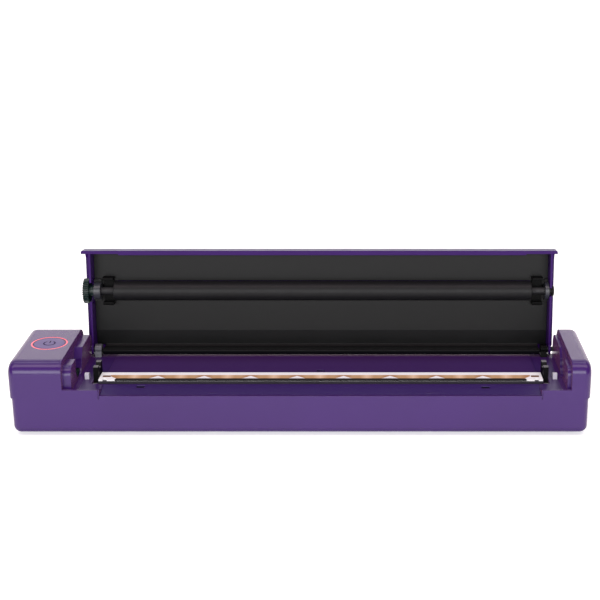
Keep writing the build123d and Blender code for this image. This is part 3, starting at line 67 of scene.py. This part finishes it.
BUTTON_LOW, BUTTON_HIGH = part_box("power_button")
BUTTON_CENTRE = ((BUTTON_LOW[0] + BUTTON_HIGH[0]) / 2, (BUTTON_LOW[1] + BUTTON_HIGH[1]) / 2)
BUTTON_TOP = BUTTON_HIGH[2]
# Radius of the light ring inside which a shadow is painted
RING_SHADOW_RADIUS = 8.55 * MM
RING_FADE = 0.3 * MM

HEAD_LOW, HEAD_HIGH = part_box("head_ceramic")
HEAD_TOP = HEAD_HIGH[2]
LEADS_FRONT = HEAD_LOW[1] + 1.0 * MM
LEADS_REAR = HEAD_HIGH[1] - 3.8 * MM
MARK_PITCH = 24.06 * MM
MARK_COUNT = 8
MARKS_OFF_CENTRE = 0.3 * MM
FIRST_MARK = (HEAD_LOW[0] + HEAD_HIGH[0]) / 2 - (MARK_COUNT - 1) / 2 * MARK_PITCH - MARKS_OFF_CENTRE

PLATE_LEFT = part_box("left_frame_plate")[0]
PLATE_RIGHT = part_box("right_frame_plate")[1]
# Margins and corners in plan of the deck zone, where the body material paints shade into its purple
DECK_FRONT_MARGIN = 0.6 * MM
DECK_REAR_MARGIN = 0.3 * MM
DECK_LOW = (PLATE_LEFT[0], CAD_BOX[0][1] + DECK_FRONT_MARGIN)
DECK_HIGH = (PLATE_RIGHT[0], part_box("upper_housing")[1][1] - DECK_REAR_MARGIN)

# Colours and textures that several materials share

PURPLE = (0.035, 0.0068, 0.105)
# Darker purple that paints shade into the sunk paper deck
DECK_SHADE_PURPLE = (0.018, 0.0036, 0.083)

# Scale per metre, detail and roughness of a noise
TONE_DRIFT = (18, 3, 0.6)
GLOSS_PATCHES = (140, 4, 0.65)
METAL_PATCHES = (220, 3, 0.6)

# Values of a noise between which a ramp runs
WIDE = (0.25, 0.75)
NARROW = (0.3, 0.7)

SPARK_SCALE = 2600
SPARK_DEPTH = 0.03 * MM
BEVEL_SAMPLES = 6

# Colour sockets of the mix node
MIX_INPUTS = (6, 7)
MIX_RESULT = 2


def shade(colour, factor):
    """A colour made lighter or darker by a factor."""
    return tuple(min(1.0, channel * factor) for channel in colour)


class Shader:
    """A new material with its principled shader and short calls for the nodes that feed it."""

    def __init__(self, name, roughness, metallic=0.0, specular=0.5):
        self.material = bpy.data.materials.new(name)
        self.material.use_nodes = True
        self.tree = self.material.node_tree
        self.shader = self.tree.nodes["Principled BSDF"]
        self.set("Roughness", roughness)
        self.set("Metallic", metallic)
        self.set("Specular IOR Level", specular)
        self.place = self.add("ShaderNodeTexCoord").outputs["Object"]

    def set(self, socket, value):
        """Give a socket of the principled shader a constant value."""
        self.shader.inputs[socket].default_value = value

    def add(self, kind, **values):
        """Add a node and set its properties."""
        node = self.tree.nodes.new(kind)
        for key, value in values.items():
            setattr(node, key, value)
        return node

    def link(self, output, target):
        """Join an output to an input."""
        self.tree.links.new(output, target)

    def feed(self, output, socket):
        """Join an output to a socket of the principled shader."""
        self.link(output, self.shader.inputs[socket])

    def stretched(self, scale):
        """Object coordinates with a scale of their own along each axis."""
        mapping = self.add("ShaderNodeMapping")
        mapping.inputs["Scale"].default_value = scale
        self.link(self.place, mapping.inputs["Vector"])
        return mapping.outputs["Vector"]

    def axis(self, letter, vector=None):
        """One part of a vector, or of the object coordinates."""
        node = self.add("ShaderNodeSeparateXYZ")
        self.link(vector or self.place, node.inputs["Vector"])
        return node.outputs[letter]

    def noise(self, scale, detail=2.0, roughness=0.5, vector=None):
        """Noise over a vector, or over the object coordinates."""
        node = self.add("ShaderNodeTexNoise")
        node.inputs["Scale"].default_value = scale
        node.inputs["Detail"].default_value = detail
        node.inputs["Roughness"].default_value = roughness
        self.link(vector or self.place, node.inputs["Vector"])
        return node.outputs["Fac"]

    def calc(self, operation, first, second):
        """Math node on two values, each an output or a number."""
        node = self.add("ShaderNodeMath", operation=operation)
        for socket, value in zip(node.inputs, (first, second)):
            if isinstance(value, (int, float)):
                socket.default_value = value
            else:
                self.link(value, socket)
        return node.outputs["Value"]

    def within(self, letter, low, high):
        """One where an object coordinate lies between two values, and nought elsewhere."""
        place = self.axis(letter)
        above = self.calc("GREATER_THAN", place, low)
        below = self.calc("LESS_THAN", place, high)
        return self.calc("MULTIPLY", above, below)

    def ramp(self, source, *stops):
        """Colour ramp of (place, colour) stops; a grey may be given as one number."""
        node = self.add("ShaderNodeValToRGB")
        elements = node.color_ramp.elements
        while len(elements) < len(stops):
            elements.new(0.5)
        for element, (place, colour) in zip(elements, stops):
            element.position = place
            if isinstance(colour, (int, float)):
                colour = (colour, colour, colour)
            element.color = (*colour, 1.0)
        self.link(source, node.inputs["Fac"])
        return node.outputs["Color"]

    def between(self, source, first, second, stops=NARROW):
        """Ramp from one colour or grey to another."""
        return self.ramp(source, (stops[0], first), (stops[1], second))

    def drift(self, source, colour, spread, stops=NARROW):
        """Ramp from a little darker than a colour to a little lighter."""
        return self.between(source, shade(colour, 1 - spread), shade(colour, 1 + spread), stops)

    def mix(self, factor, first, second):
        """Colour mix of two outputs or colours."""
        node = self.add("ShaderNodeMix", data_type="RGBA")
        self.link(factor, node.inputs["Factor"])
        for index, value in zip(MIX_INPUTS, (first, second)):
            if isinstance(value, tuple):
                node.inputs[index].default_value = (*value, 1.0)
            else:
                self.link(value, node.inputs[index])
        return node.outputs[MIX_RESULT]

    def bump(self, height, distance, strength, edge=0.0):
        """Bump from a height, over corners that are rounded by a small edge radius."""
        node = self.add("ShaderNodeBump")
        node.inputs["Strength"].default_value = strength
        node.inputs["Distance"].default_value = distance
        self.link(height, node.inputs["Height"])
        if edge:
            rounding = self.add("ShaderNodeBevel", samples=BEVEL_SAMPLES)
            rounding.inputs["Radius"].default_value = edge
            self.link(rounding.outputs["Normal"], node.inputs["Normal"])
        self.feed(node.outputs["Normal"], "Normal")

    def spark(self, scale, depth, edge):
        """The fine texture of a spark-eroded mould."""
        self.bump(self.noise(scale, detail=3, roughness=0.6), depth, strength=0.35, edge=edge)


# Materials

def moulded(name, colour, roughness, grain=SPARK_SCALE, depth=SPARK_DEPTH, specular=0.5, edge=0.25 * MM):
    """Moulded plastic or rubber: faint tone drift, a fine spark texture and uneven gloss."""
    s = Shader(name, roughness, specular=specular)
    s.feed(s.drift(s.noise(*TONE_DRIFT), colour, spread=0.06), "Base Color")
    gloss = s.between(s.noise(*GLOSS_PATCHES), roughness * 0.9, min(1.0, roughness * 1.12), WIDE)
    s.feed(gloss, "Roughness")
    s.spark(grain, depth, edge)
    return s.material


def brushed(name, colour, roughness, metallic=1.0):
    """Metal with fine lines along X and patchy gloss."""
    s = Shader(name, roughness, metallic=metallic)
    lines = s.noise(1.0, detail=4, roughness=0.7, vector=s.stretched((300, 6000, 6000)))
    s.feed(s.drift(lines, colour, spread=0.12, stops=WIDE), "Base Color")
    gloss = s.between(s.noise(*METAL_PATCHES), roughness * 0.8, min(1.0, roughness * 1.3))
    s.feed(gloss, "Roughness")
    s.bump(lines, 0.02 * MM, strength=0.4, edge=0.15 * MM)
    return s.material


def body_material(low, high):
    """Satin housing plastic, duller in the sunk paper deck between two corners in plan, where a darker
    purple paints shade.
    """
    s = Shader("body_purple", 0.24, specular=0.45)
    s.set("Sheen Weight", 0.12)
    s.set("Sheen Roughness", 0.4)
    s.set("Sheen Tint", (1.0, 0.35, 0.55, 1.0))
    # Mask of the sunk paper deck: its colour gets painted shade and its gloss is duller
    sunk_deck_shade = s.calc("MULTIPLY", s.within("X", low[0], high[0]), s.within("Y", low[1], high[1]))
    tone = s.noise(*TONE_DRIFT)
    outer = s.drift(tone, PURPLE, spread=0.06)
    # Painted shade: the darker purple of the deck
    inner = s.drift(tone, DECK_SHADE_PURPLE, spread=0.05)
    s.feed(s.mix(sunk_deck_shade, outer, inner), "Base Color")
    gloss = s.between(s.noise(*GLOSS_PATCHES), 0.22, 0.27, WIDE)
    s.feed(s.mix(sunk_deck_shade, gloss, (0.32, 0.32, 0.32)), "Roughness")
    s.spark(SPARK_SCALE, SPARK_DEPTH, edge=0.4 * MM)
    return s.material


def plate_material():
    """Blackened sheet, bare grey on the faces that point up: bare cut metal on its tops, and a painted top
    light, since only faces that point up get it.
    """
    s = Shader("plate_steel", 0.5, specular=0.12)
    upward = s.axis("Z", s.add("ShaderNodeTexCoord").outputs["Normal"])
    # Painted top light: faces that point up turn bare grey
    bare_and_top_lit = s.ramp(upward, (0.8, 0.0), (0.9, 1.0))
    black = s.between(s.noise(300, detail=3), (0.001, 0.001, 0.0014), (0.0022, 0.0022, 0.003))
    s.feed(s.mix(bare_and_top_lit, black, (0.15, 0.15, 0.16)), "Base Color")
    s.bump(s.noise(2500, detail=3), 0.02 * MM, strength=0.4, edge=0.2 * MM)
    return s.material


def ceramic_material():
    """White glazed ceramic."""
    s = Shader("head_ceramic", 0.22)
    s.feed(s.between(s.noise(60, detail=3), (0.9, 0.89, 0.92), (0.96, 0.95, 0.98)), "Base Color")
    s.bump(s.noise(1800), 0.01 * MM, strength=0.3)
    return s.material


def ring_material(centre, shadow_radius, fade):
    """Light guide lit from below, brightest along its outer edge; inside a radius its colour and glow are
    darkened into a painted shadow of its inner bevel.
    """
    s = Shader("ring_light", 0.35)
    reach = s.add("ShaderNodeVectorMath", operation="DISTANCE")
    s.link(s.stretched((1.0, 1.0, 0.0)), reach.inputs[0])
    reach.inputs[1].default_value = (centre[0], centre[1], 0.0)
    # Nought inside the radius, where colour and glow are darkened into a painted shadow, one from a fade
    # beyond it
    outer = s.calc("MULTIPLY", s.calc("SUBTRACT", reach.outputs["Value"], shadow_radius), 1 / fade)
    s.feed(s.mix(outer, (0.1, 0.02, 0.05), (0.75, 0.1, 0.16)), "Base Color")
    s.feed(s.mix(outer, (0.02, 0.002, 0.006), (1.0, 0.065, 0.13)), "Emission Color")
    s.set("Emission Strength", 0.62)
    s.bump(s.noise(900), 0.02 * MM, strength=0.3)
    return s.material


def gold_material(first, pitch):
    """Fine gold leads that run across the head, lighter between the driver marks."""
    s = Shader("lead_gold", 0.4, metallic=0.1)
    along = s.calc("DIVIDE", s.calc("SUBTRACT", s.axis("X"), first), pitch)
    # From 0 at a mark to 0.5 halfway to the next one
    swing = s.calc("PINGPONG", along, 0.5)
    at_mark = (0.08, (0.46, 0.22, 0.1))
    beside = (0.2, (0.62, 0.39, 0.21))
    farther = (0.34, (0.6, 0.36, 0.19))
    halfway = (0.5, (0.92, 0.66, 0.46))
    glow = s.ramp(swing, at_mark, beside, farther, halfway)
    leads = s.noise(1.0, vector=s.stretched((9000, 120, 120)))
    gaps = s.ramp(leads, (0.35, 0.0), (0.65, 0.25))
    s.feed(s.mix(gaps, glow, (0.45, 0.26, 0.14)), "Base Color")
    s.bump(leads, 0.004 * MM, strength=0.3)
    return s.material


MATERIALS = {
    "body": body_material(DECK_LOW, DECK_HIGH),
    # The lid is the body purple made a little darker: painted shade
    "lid": moulded("lid_purple", shade(PURPLE, 0.92), 0.3, specular=0.13, edge=0.4 * MM),
    "cover": moulded("cover_purple", shade(PURPLE, 0.9), 0.44, specular=0.3),
    "cap": moulded("button_lilac", shade(PURPLE, 1.6), 0.3, specular=0.45),
    "symbol": moulded("symbol_dark", shade(PURPLE, 0.4), 0.7, specular=0.02),
    "ring": ring_material(BUTTON_CENTRE, RING_SHADOW_RADIUS, RING_FADE),
    "liner": moulded("liner_black", (0.0035, 0.0036, 0.004), 0.38, grain=1500, depth=0.04 * MM,
                     specular=0.22),
    "bracket": moulded("bracket_black", (0.0008, 0.0008, 0.001), 0.4, specular=0.07),
    "rubber": moulded("roller_rubber", (0.008, 0.008, 0.009), 0.46, grain=4000, depth=0.02 * MM,
                      specular=0.2),
    "feet": moulded("feet_rubber", (0.02, 0.02, 0.02), 0.75, grain=1800, depth=0.1 * MM),
    "green": moulded("gear_green", (0.003, 0.016, 0.014), 0.38, edge=0.1 * MM),
    "acetal": moulded("gear_white", (0.72, 0.71, 0.66), 0.4),
    "nylon": moulded("nylon_white", (0.62, 0.6, 0.68), 0.42),
    "bearing": moulded("bearing_grey", (0.03, 0.032, 0.04), 0.35),
    "sensor": moulded("sensor_black", (0.0015, 0.001, 0.003), 0.4, specular=0.1),
    "driver": moulded("driver_black", (0.004, 0.002, 0.003), 0.45, specular=0.15),
    "board": moulded("board_green", (0.01, 0.09, 0.045), 0.35),
    "mark": moulded("mark_brown", (0.13, 0.05, 0.018), 0.5, specular=0.2),
    "plate": plate_material(),
    "pin": brushed("pin_steel", (0.012, 0.012, 0.014), 0.6, metallic=0.2),
    "foil": brushed("pack_foil", (0.42, 0.43, 0.45), 0.42),
    "steel": brushed("bright_steel", (0.42, 0.42, 0.44), 0.3),
    "zinc": brushed("zinc_steel", (0.5, 0.5, 0.52), 0.38),
    "screw": brushed("screw_steel", (0.35, 0.35, 0.37), 0.35),
    "spring": brushed("spring_steel", (0.45, 0.45, 0.47), 0.28),
    "lug": brushed("lug_grey", (0.11, 0.11, 0.13), 0.45, metallic=0.5),
    "sink": brushed("sink_anodised", (0.006, 0.003, 0.012), 0.6, metallic=0.0),
    "brass": brushed("brass_pinion", (0.62, 0.42, 0.14), 0.3),
    "ceramic": ceramic_material(),
    "gold": gold_material(FIRST_MARK, MARK_PITCH),
}

FINISH_NODES = {
    "body": ("upper_housing",),
    "lid": ("lid_shell",),
    "cover": ("bottom_cover",),
    "cap": ("power_button",),
    "ring": ("light_ring",),
    "liner": ("lid_liner",),
    "bracket": ("left_bracket", "right_bracket", "right_hinge_block"),
    "rubber": ("platen_rubber",),
    "feet": ("rubber_feet",),
    "green": ("platen_gear", "drive_gear"),
    "acetal": ("reduction_gear",),
    "nylon": ("left_bearing_rest", "right_bearing_rest"),
    "bearing": ("left_bearing", "right_bearing"),
    "sensor": ("paper_sensors",),
    "driver": ("head_driver_cover", "button_switch", "platen_end_cap"),
    "board": ("main_board", "button_board"),
    "plate": ("left_frame_plate", "right_frame_plate"),
    "pin": ("hinge_pins", "platen_shaft"),
    "foil": ("battery_pack",),
    "steel": ("gear_posts", "motor_shaft", "head_pins"),
    "zinc": ("gear_plate", "stepper_motor", "charging_socket"),
    "screw": ("housing_screws", "frame_screws", "gear_plate_screws", "motor_screws", "button_board_screws",
              "board_screws"),
    "spring": ("gear_clip", "head_springs"),
    "lug": ("left_hinge_block",),
    "sink": ("head_heat_sink",),
    "brass": ("motor_pinion",),
    "ceramic": ("head_ceramic",),
}

for finish, names in FINISH_NODES.items():
    for name in names:
        mesh = NODES[name].data
        mesh.materials.clear()
        mesh.materials.append(MATERIALS[finish])


# Extra pieces

FILM = 0.03 * MM


def new_object(name, data):
    """Make an object and link it to the scene."""
    made = bpy.data.objects.new(name, data)
    bpy.context.scene.collection.objects.link(made)
    return made


def new_mesh(name, bm):
    """Turn a bmesh into a mesh."""
    mesh = bpy.data.meshes.new(name)
    bm.to_mesh(mesh)
    bm.free()
    return mesh


def mesh_piece(name, bm, finish, body):
    """Make an object from a bmesh, give it a finish and let it ride on a body."""
    bmesh.ops.recalc_face_normals(bm, faces=bm.faces)
    mesh = new_mesh(name, bm)
    mesh.materials.append(MATERIALS[finish])
    piece = new_object(name, mesh)
    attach(piece, body)
    return piece


def prism(bm, first, second):
    """Add the closed form between two outlines with the same number of points."""
    start = [bm.verts.new(point) for point in first]
    end = [bm.verts.new(point) for point in second]
    bm.faces.new(start[::-1])
    bm.faces.new(end)
    for k in range(len(start)):
        after = (k + 1) % len(start)
        bm.faces.new((start[k], start[after], end[after], end[k]))


def film(bm, outline, bottom):
    """Add a film with the given outline in plan, from the height of its bottom."""
    prism(bm, [(x, y, bottom) for x, y in outline], [(x, y, bottom + FILM) for x, y in outline])


def rectangle(left, front, right, rear):
    """Outline of a rectangle in plan."""
    return [(left, front), (right, front), (right, rear), (left, rear)]


def head_leads():
    """Gold leads on the head's ceramic, notched by the white driver marks and the arrow at each end."""
    left, right = HEAD_LOW[0] + 5.4 * MM, HEAD_HIGH[0] - 6.1 * MM
    front, rear = LEADS_FRONT, LEADS_REAR
    arrow_length, arrow_base, arrow_tip = 3.6 * MM, 1.6 * MM, 0.5 * MM
    mark_half, mark_depth = 5.4 * MM, 4.4 * MM
    outline = [(left, rear), (left, rear - arrow_base)]
    outline += [(left + arrow_length, front + arrow_tip), (left + arrow_length, front)]
    for k in range(MARK_COUNT):
        x = FIRST_MARK + k * MARK_PITCH
        outline += [(x - mark_half, front), (x, front + mark_depth), (x + mark_half, front)]
    outline += [(right - arrow_length, front), (right - arrow_length, front + arrow_tip)]
    outline += [(right, rear - arrow_base), (right, rear)]
    bm = bmesh.new()
    film(bm, outline, HEAD_TOP)
    mesh_piece("head_leads", bm, "gold", "head")


def head_end_marks():
    """Short brown bar in each white arrow."""
    length = 4.2 * MM
    front, rear = LEADS_REAR - 2.7 * MM, LEADS_REAR - 0.5 * MM
    bm = bmesh.new()
    for left in (HEAD_LOW[0] + 1.4 * MM, HEAD_HIGH[0] - 5.7 * MM):
        film(bm, rectangle(left, front, left + length, rear), HEAD_TOP)
    mesh_piece("head_end_marks", bm, "mark", "head")


def head_resin():
    """Domed strip of black resin over the driver chips, down the front of the ceramic."""
    low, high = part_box("head_driver_cover")
    front, rear, top = low[1] - 0.25 * MM, high[1], high[2]
    foot = HEAD_LOW[2] + 0.35 * MM
    inside = low[1] + 0.38 * MM
    underside = HEAD_TOP + 0.02 * MM
    lean = 0.9 * MM
    # Millimetres inwards and down from the sharp corners, for the rounded ones
    front_corner = ((0.0, 0.45), (0.12, 0.16), (0.4, 0.0))
    rear_corner = ((0.6, 0.0), (0.18, 0.14))
    profile = [(front, foot)]
    profile += [(front + inwards * MM, top - down * MM) for inwards, down in front_corner]
    profile += [(rear - inwards * MM, top - down * MM) for inwards, down in rear_corner]
    profile += [(rear, underside), (inside, underside), (inside, foot)]
    left_end, right_end = (
        [(x + side * lean * (y - front) / (rear - front), y, z) for y, z in profile]
        for x, side in ((low[0], 1), (high[0], -1)))
    bm = bmesh.new()
    prism(bm, left_end, right_end)
    piece = mesh_piece("head_resin", bm, "driver", "head")
    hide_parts("head_driver_cover")


def power_symbol():
    """Standby sign on the button: an open ring with a bar in its gap."""
    radius, half = 2.9 * MM, 0.31 * MM
    bar_front, bar_rear = 0.5 * MM, 3.5 * MM
    gap = math.radians(34)
    steps = 40
    cx, cy = BUTTON_CENTRE
    turns = [math.pi / 2 + gap + (2 * math.pi - 2 * gap) * k / steps for k in range(steps + 1)]
    outer, inner = (
        [(cx + reach * math.cos(turn), cy + reach * math.sin(turn)) for turn in turns]
        for reach in (radius + half, radius - half))
    bm = bmesh.new()
    film(bm, outer + inner[::-1], BUTTON_TOP)
    film(bm, rectangle(cx - half, cy + bar_front, cx + half, cy + bar_rear), BUTTON_TOP)
    mesh_piece("power_symbol", bm, "symbol", "button")


def pressed_springs():
    """A copy of the head's springs with a mesh of its own, riding on the base in place of the CAD springs.
    """
    mesh = NODES["head_springs"].data.copy()
    mesh.name = "pressed_springs"
    piece = new_object("pressed_springs", mesh)
    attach(piece, "base")
    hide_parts("head_springs")
    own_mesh(piece)


head_leads()
head_end_marks()
head_resin()
power_symbol()
pressed_springs()


# Studio

def floor():
    """Pale floor that curves up into a backdrop."""
    width, front, back, height, bend = 16.0, -9.0, 2.2, 3.0, 0.8
    steps = 12
    line = [Vector((0, front, 0)), Vector((0, back - bend, 0))]
    for k in range(1, steps + 1):
        turn = math.radians(90 * k / steps)
        line.append(Vector((0, back - bend + bend * math.sin(turn), bend - bend * math.cos(turn))))
    line.append(Vector((0, back, height)))
    bm = bmesh.new()
    left, right = ([bm.verts.new(p + Vector((side * width / 2, 0, 0))) for p in line] for side in (-1, 1))
    for k in range(len(line) - 1):
        bm.faces.new((left[k], right[k], right[k + 1], left[k + 1]))
    mesh = new_mesh("studio_floor", bm)
    for face in mesh.polygons:
        face.use_smooth = True
    s = Shader("studio_paper", 0.9, specular=0.1)
    s.feed(s.between(s.noise(3), 0.86, 0.88), "Base Color")
    s.set("Emission Color", (1.0, 1.0, 1.0, 1.0))
    s.set("Emission Strength", 0.45)
    mesh.materials.append(s.material)
    piece = new_object("studio_floor", mesh)


def air():
    """Weak white light from all sides."""
    world = bpy.data.worlds.new("studio_air")
    world.use_nodes = True
    background = world.node_tree.nodes["Background"]
    background.inputs["Color"].default_value = (1.0, 1.0, 1.0, 1.0)
    background.inputs["Strength"].default_value = 0.15
    bpy.context.scene.world = world


def area_light(name, place, aim, size, power, colour=(1, 1, 1)):
    """Rectangular light at a place, turned towards the point it aims at."""
    lamp = bpy.data.lights.new(name, "AREA")
    lamp.shape = "RECTANGLE"
    lamp.size, lamp.size_y = size
    lamp.energy = power
    lamp.color = colour
    light = new_object(name, lamp)
    light.location = place
    light.rotation_euler = (Vector(aim) - Vector(place)).to_track_quat("-Z", "Y").to_euler()


def camera():
    """The photograph's camera: a long lens a little right of the middle, looking down at the open lid."""
    level, downwards = 90, 18.36
    view = bpy.data.cameras.new("photo_camera")
    view.lens = 76.8
    view.sensor_width = 36.0
    view.shift_x = -0.1025
    view.clip_start = 0.05
    view.clip_end = 20.0
    holder = new_object("photo_camera", view)
    holder.location = (31.2 * MM, -635.01 * MM, 272.1 * MM)
    holder.rotation_euler = (math.radians(level - downwards), 0.0, 0.0)
    bpy.context.scene.camera = holder


floor()
air()
area_light("front_softbox", place=(-0.1, -1.42, 0.5), aim=(0.0, 0.0, 0.02), size=(2.2, 0.6), power=22)
area_light("top_strip", place=(0.0, -0.36, 1.15), aim=(0.0, 0.0, 0.0), size=(2.4, 0.42), power=11,
           colour=(1.0, 0.82, 0.84))
area_light("backdrop_wash", place=(0.0, 0.7, 2.3), aim=(0.0, 2.2, 0.9), size=(3.0, 0.6), power=32)
camera()
bpy.context.scene.view_settings.view_transform = "Standard"
